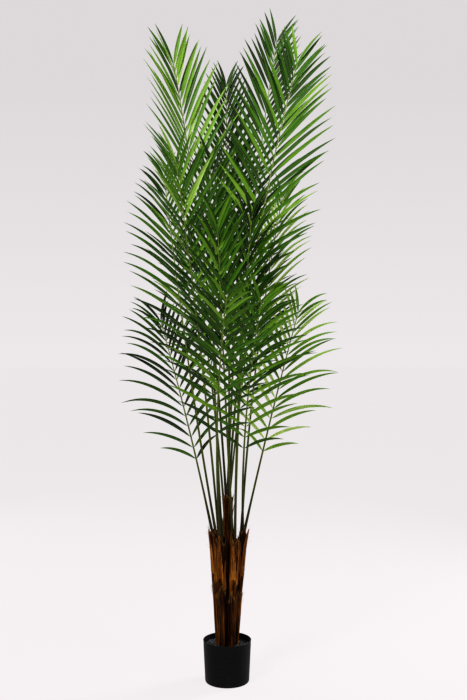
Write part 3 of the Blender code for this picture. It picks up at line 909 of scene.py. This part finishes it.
def thread_tree():
    tree, given = new_tree(
        "frayed_threads",
        [
            ("Threads per square metre", "NodeSocketFloat", 30000.0),
            ("Shortest", "NodeSocketFloat", 0.006),
            ("Longest", "NodeSocketFloat", 0.026),
            ("Thickness", "NodeSocketFloat", 0.011),
            ("Lean", "NodeSocketFloat", 0.55),
            ("Seed", "NodeSocketInt", 1),
            ("Husk material", "NodeSocketMaterial", None),
        ],
    )
    fray = named(tree, "fray")
    crowd = maths(tree, "MULTIPLY", maths(tree, "POWER", fray, 2.0), given["Threads per square metre"])
    crowd = maths(tree, "ADD", crowd, maths(tree, "MULTIPLY", maths(tree, "GREATER_THAN", fray, 0.0), 900.0))
    spread = {"Mesh": given["Geometry"], "Density": crowd, "Seed": given["Seed"]}
    spots = add(tree, "GeometryNodeDistributePointsOnFaces", spread, distribute_method="RANDOM")

    bend = {"Resolution": 6, "Start": (0, 0, 0), "Middle": (0, 0, 0.6), "End": (0.4, 0, 1)}
    arc = add(tree, "GeometryNodeCurveQuadraticBezier", bend).outputs[0]
    sides = {"Resolution": 3, "Radius": 1.0}
    section = add(tree, "GeometryNodeCurvePrimitiveCircle", sides, mode="RADIUS").outputs[0]
    share = add(tree, "GeometryNodeSplineParameter").outputs["Factor"]
    thin = maths(tree, "MULTIPLY", maths(tree, "SUBTRACT", 1.12, share), given["Thickness"])
    sweep_inputs = {"Curve": arc, "Profile Curve": section, "Scale": thin, "Fill Caps": True}
    thread = add(tree, "GeometryNodeCurveToMesh", sweep_inputs).outputs[0]

    turn = {"Min": (0, 0, 0), "Max": (0, 0, 6.283), "Seed": given["Seed"]}
    turn = add(tree, "FunctionNodeRandomValue", turn, data_type="FLOAT_VECTOR").outputs[0]
    stray = {"Min": (-0.5, -0.5, -0.1), "Max": (0.5, 0.5, 0.3), "Seed": 7}
    stray = add(tree, "FunctionNodeRandomValue", stray, data_type="FLOAT_VECTOR").outputs[0]
    outward = {0: spots.outputs["Normal"], "Scale": given["Lean"]}
    outward = add(tree, "ShaderNodeVectorMath", outward, operation="SCALE").outputs[0]
    heading = add(tree, "ShaderNodeVectorMath", {0: outward, 1: stray}, operation="ADD").outputs[0]
    heading = add(tree, "ShaderNodeVectorMath", {0: heading, 1: (0, 0, 0.9)}, operation="ADD").outputs[0]
    aimed = add(tree, "FunctionNodeAlignRotationToVector", {"Rotation": turn, "Vector": heading}, axis="Z")
    lengths = {"Min_001": given["Shortest"], "Max_001": given["Longest"], "Seed": given["Seed"]}
    random_length = add(tree, "FunctionNodeRandomValue", data_type="FLOAT")
    for socket in random_length.inputs:
        if socket.identifier in lengths:
            value = lengths[socket.identifier]
            if isinstance(value, bpy.types.NodeSocket):
                tree.links.new(value, socket)
    placed = {
        "Points": spots.outputs["Points"],
        "Instance": thread,
        "Rotation": aimed.outputs[0],
        "Scale": random_length.outputs[1],
    }
    threads = add(tree, "GeometryNodeInstanceOnPoints", placed).outputs[0]
    both = add(tree, "GeometryNodeJoinGeometry")
    tree.links.new(given["Geometry"], both.inputs[0])
    tree.links.new(threads, both.inputs[0])
    whole = add(tree, "GeometryNodeRealizeInstances", {0: both.outputs[0]}).outputs[0]
    finish = {0: whole, "Material": given["Husk material"]}
    whole = add(tree, "GeometryNodeSetMaterial", finish).outputs[0]
    tree.links.new(whole, tree.nodes.new("NodeGroupOutput").inputs[0])
    return tree


# %% [markdown]
# ## Dressing the canes
#
# Each cane wears a lower and an upper husk where the solid model has its two sheaths. The highest
# corner of the solid sheath says which way its point faces. Boots lie on the upper husks, two on
# each cane, most of them facing the front.

# %% The husks in place
# Boots: (which way it faces in degrees, height of its foot, length, width, curl of its tip)
BOOTS = {
    "left": [(-70, 0.340, 0.150, 0.024, 0.004), (-140, 0.372, 0.165, 0.022, 0.008)],
    "front_left": [(-112, 0.350, 0.178, 0.028, 0.009), (-40, 0.330, 0.110, 0.018, 0.004)],
    "front_right": [(-98, 0.356, 0.135, 0.026, 0.006), (-20, 0.335, 0.150, 0.018, 0.008)],
    "right": [(-55, 0.352, 0.190, 0.022, 0.015), (-115, 0.372, 0.120, 0.018, 0.005)],
    "centre": [(20, 0.520, 0.110, 0.018, 0.009), (100, 0.470, 0.130, 0.022, 0.010)],
    "back": [(90, 0.360, 0.170, 0.026, 0.010), (150, 0.400, 0.140, 0.022, 0.012)],
}
HUSK_RADIUS = 0.0127
UPPER_DEEPER = 0.045  # an upper husk starts this far below its solid sheath, inside the lower husk
UPPER_FULLER = {"centre": 0.0036}  # how much fuller an upper husk is: 1 mm on the other canes
BOOT_RADIUS = 0.0152
THREAD_TREE = thread_tree()


def dress(cane, tier, number):
    """One tier of a cane's husks, with its boots and threads."""
    node = nodes[f"sheath_{tier}_{cane.name}"]
    corners = distinct_points(node)
    z_low, highest = min(p.z for p in corners), max(corners, key=lambda p: p.z)
    away = highest - cane.at(highest.z)
    rng = random.Random(number * 31 + (5 if tier == "upper" else 0))
    upper = tier == "upper"
    husk = Husk()
    tall = 0.020 if upper and cane.name == "centre" else 0.040
    z_rim = highest.z - tall - (0.010 if upper else 0.005)
    lean_out = 0.0032 if upper else 0.0022
    facing = math.atan2(away.y, away.x)
    shade = rng.uniform(-0.10, 0.22)
    radius = HUSK_RADIUS + (UPPER_FULLER.get(cane.name, 0.0010) if upper else 0)
    tuck = radius - 0.0116 if upper else 0
    z_low -= UPPER_DEEPER if upper else 0
    wind_husk(husk, cane, z_low, z_rim, facing, radius, tuck, tall, lean_out, rng, shade)
    if upper:
        for angle, foot, length, width, curl in BOOTS[cane.name]:
            paler = rng.uniform(0.10, 0.42)
            turn = math.radians(angle)
            lay_boot(husk, cane, turn, foot, length, width, curl, BOOT_RADIUS, rng, paler)
    guide = mesh_object(f"sheet_{tier}_{cane.name}", husk.points, husk.faces)
    give(guide.data, "ridge", "FLOAT", husk.ridge)
    give(guide.data, "fray", "FLOAT", husk.fray)
    give(guide.data, "shade", "FLOAT", husk.shade)
    values = {"Seed": number, "Husk material": husk_skin}
    piece = grow(f"husk_{tier}_{cane.name}", guide, THREAD_TREE, values)
    smooth(piece, 50)
    stand_for(piece, f"sheath_{tier}_{cane.name}")
    return piece


for number, cane in enumerate(canes.values()):
    for tier in ("lower", "upper"):
        piece = dress(cane, tier, number + 3)
        print(piece.name, "faces", len(piece.data.polygons))

# %% [markdown]
# ## The pot
#
# A plain black nursery pot, moulded in one piece: it tapers, has a thin wall, a rounded lip and a
# rounded foot. It is made as a lathe would make it: a half outline turned round the upright axis.
# The outline's main sizes come from the solid pot's box.

# %% The pot
POT_SIDES = 96
pot_low, pot_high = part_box("pot")
RIM_RADIUS = (pot_high[0] - pot_low[0]) / 2
POT_TOP = pot_high[2]
POT_TAPER = 0.007  # the foot is this much smaller in radius
POT_WALL = 0.0022
POT_FLOOR = 0.004


def pot_outline():
    """(radius, height) points: up the outside, over the lip, down the inside, across the floor."""
    foot = RIM_RADIUS - POT_TAPER
    outline = [(0.0, 0.0012), (foot - 0.016, 0.0012), (foot - 0.013, 0.0), (foot - 0.006, 0.0)]
    for k in range(1, 7):
        angle = math.radians(90 * k / 6)
        outline.append((foot - 0.006 + 0.006 * math.sin(angle), 0.006 - 0.006 * math.cos(angle)))
    for k in range(1, 12):
        share = k / 12
        outline.append((foot + (RIM_RADIUS - 0.0006 - foot) * share, 0.006 + (POT_TOP - 0.014) * share))
    lip = 0.0017  # the lip is a little fuller than the wall
    for k in range(9):
        angle = math.radians(-60 + 300 * k / 8)
        outline.append((RIM_RADIUS - lip + lip * math.cos(angle), POT_TOP - lip + lip * math.sin(angle)))
    for k in range(1, 12):
        share = k / 12
        radius = RIM_RADIUS - POT_WALL - 0.0008 - POT_TAPER * share
        outline.append((radius, POT_TOP - 0.006 - (POT_TOP - 0.010) * share))
    return outline + [(foot - 0.010, POT_FLOOR), (0.0, POT_FLOOR)]


def turn_outline(outline, sides):
    """Points and faces of an outline that starts and ends on the axis."""
    points, faces = [(0, 0, outline[0][1])], []
    inner = outline[1:-1]
    for radius, z in inner:
        for k in range(sides):
            turn = 2 * math.pi * k / sides
            points.append((radius * math.cos(turn), radius * math.sin(turn), z))
    last = len(points)
    points.append((0, 0, outline[-1][1]))
    for k in range(sides):
        nxt = (k + 1) % sides
        faces.append((0, 1 + nxt, 1 + k))
        for row in range(len(inner) - 1):
            a, b = 1 + row * sides + k, 1 + row * sides + nxt
            faces.append((a, b, b + sides, a + sides))
        end = 1 + (len(inner) - 1) * sides
        faces.append((last, end + k, end + nxt))
    return points, faces


pot_skin, tree, shader = surface("black_plastic", 0.5, 0.14)
pebble = grain(tree, 1100.0, (1, 1, 1), 2.0)
scuff = grain(tree, 38.0, (1, 1, 2.2), 5.0, 0.8)
dusty = maths(tree, "MULTIPLY", maths(tree, "SUBTRACT", scuff, 0.55, clamp=True), 2.0)
pot_colour = blend_colours(tree, dusty, (0.0065, 0.0065, 0.007), (0.026, 0.026, 0.027))
tree.links.new(pot_colour, shader.inputs["Base Color"])
tree.links.new(maths(tree, "ADD", 0.42, maths(tree, "MULTIPLY", scuff, 0.30)), shader.inputs["Roughness"])
pot_bump = add(tree, "ShaderNodeBump", {"Strength": 0.22, "Distance": 0.0003, "Height": pebble})
tree.links.new(pot_bump.outputs["Normal"], shader.inputs["Normal"])

points, faces = turn_outline(pot_outline(), POT_SIDES)
pot = mesh_object("nursery_pot", points, faces)
pot.data.materials.append(pot_skin)
smooth(pot, 40)
stand_for(pot, "pot")
print("pot:", len(pot.data.polygons), "faces, rim radius", round(RIM_RADIUS, 4))

# %% [markdown]
# ## Gravel
#
# Dark stones cover the filling of the pot. Stones are many and alike but no two are the same, so
# Geometry Nodes makes a few lumpy ones, scatters them on a disc without letting them crowd, and
# picks one at random for each place. The weight under them keeps a rough cast finish of its own.

# %% The gravel and the weight under it
GRAVEL_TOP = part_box("gravel")[1][2]


def stone_tree():
    tree, given = new_tree(
        "scattered_stones",
        [
            ("Stone radius", "NodeSocketFloat", 0.0062),
            ("Closest", "NodeSocketFloat", 0.0070),
            ("Most per square metre", "NodeSocketFloat", 40000.0),
            ("Seed", "NodeSocketInt", 4),
            ("Stone material", "NodeSocketMaterial", None),
        ],
    )
    spread = {"Mesh": given["Geometry"], "Distance Min": given["Closest"], "Seed": given["Seed"]}
    spread["Density Max"] = given["Most per square metre"]
    spots = add(tree, "GeometryNodeDistributePointsOnFaces", spread, distribute_method="POISSON")
    basket = add(tree, "GeometryNodeGeometryToInstance")
    for kind in range(5):
        ball = {"Segments": 8, "Rings": 5, "Radius": given["Stone radius"]}
        ball = add(tree, "GeometryNodeMeshUVSphere", ball).outputs["Mesh"]
        place = add(tree, "GeometryNodeInputPosition").outputs[0]
        lumps = {"Vector": place, "W": 3.1 * kind, "Scale": 150.0, "Detail": 1.0}
        lumps = add(tree, "ShaderNodeTexNoise", lumps, noise_dimensions="4D").outputs["Fac"]
        size = maths(tree, "ADD", 0.45, maths(tree, "MULTIPLY", lumps, 1.05))
        moved = add(tree, "ShaderNodeVectorMath", {0: place, "Scale": size}, operation="SCALE").outputs[0]
        squash = {0: moved, 1: (1.0, 0.74 + 0.06 * kind, 0.72)}
        moved = add(tree, "ShaderNodeVectorMath", squash, operation="MULTIPLY").outputs[0]
        stone = add(tree, "GeometryNodeSetPosition", {"Geometry": ball, "Position": moved}).outputs[0]
        tree.links.new(stone, basket.inputs[0])
    turn = {"Min": (-0.5, -0.5, 0), "Max": (0.5, 0.5, 6.283), "Seed": 11}
    turn = add(tree, "FunctionNodeRandomValue", turn, data_type="FLOAT_VECTOR").outputs[0]
    sizes = {"Min": (0.7, 0.7, 0.7), "Max": (1.25, 1.25, 1.1), "Seed": 12}
    sizes = add(tree, "FunctionNodeRandomValue", sizes, data_type="FLOAT_VECTOR").outputs[0]
    placed = {
        "Points": spots.outputs["Points"],
        "Instance": basket.outputs[0],
        "Pick Instance": True,
        "Rotation": turn,
        "Scale": sizes,
    }
    stones = add(tree, "GeometryNodeInstanceOnPoints", placed).outputs[0]
    stones = add(tree, "GeometryNodeRealizeInstances", {0: stones}).outputs[0]
    finish = {0: stones, "Material": given["Stone material"]}
    stones = add(tree, "GeometryNodeSetMaterial", finish).outputs[0]
    tree.links.new(stones, tree.nodes.new("NodeGroupOutput").inputs[0])
    return tree


stone_skin, tree, shader = surface("dark_stone", 0.72, 0.2)
cloud = grain(tree, 90.0, (1, 1, 1), 3.0)
speck = grain(tree, 900.0, (1, 1, 1), 3.0)
stone_colour = ramp(tree, cloud, [(0.3, (0.012, 0.012, 0.014)), (0.7, (0.075, 0.073, 0.078))])
tree.links.new(stone_colour, shader.inputs["Base Color"])
stone_bump = add(tree, "ShaderNodeBump", {"Strength": 0.5, "Distance": 0.0004, "Height": speck})
tree.links.new(stone_bump.outputs["Normal"], shader.inputs["Normal"])

bed_rings = [0.0, 0.026, 0.052, 0.0775]
bed_points, bed_faces = [(0, 0, GRAVEL_TOP - 0.0012)], []
for row, radius in enumerate(bed_rings[1:]):
    for k in range(32):
        turn = 2 * math.pi * k / 32
        bed_points.append((radius * math.cos(turn), radius * math.sin(turn), GRAVEL_TOP - 0.0012))
for k in range(32):
    nxt = (k + 1) % 32
    bed_faces.append((0, 1 + k, 1 + nxt))
    for row in range(2):
        a, b = 1 + row * 32 + k, 1 + row * 32 + nxt
        bed_faces.append((a, a + 32, b + 32, b))
bed = mesh_object("gravel_bed", bed_points, bed_faces)
stones = grow("gravel_stones", bed, stone_tree(), {"Stone material": stone_skin})
smooth(stones, 60)
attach(stones, "root")
print("stones:", len(stones.data.polygons), "faces")

cast_skin, tree, shader = surface("cast_weight", 0.9, 0.3)
lumps = grain(tree, 60.0, (1, 1, 1), 5.0)
cast_colour = ramp(tree, lumps, [(0.3, (0.055, 0.053, 0.050)), (0.7, (0.150, 0.145, 0.135))])
tree.links.new(cast_colour, shader.inputs["Base Color"])
cast_bump = add(tree, "ShaderNodeBump", {"Strength": 0.6, "Distance": 0.001, "Height": lumps})
tree.links.new(cast_bump.outputs["Normal"], shader.inputs["Normal"])
for name, skin in (("gravel", stone_skin), ("ballast", cast_skin)):
    for slot in nodes[name].material_slots:
        slot.material = skin
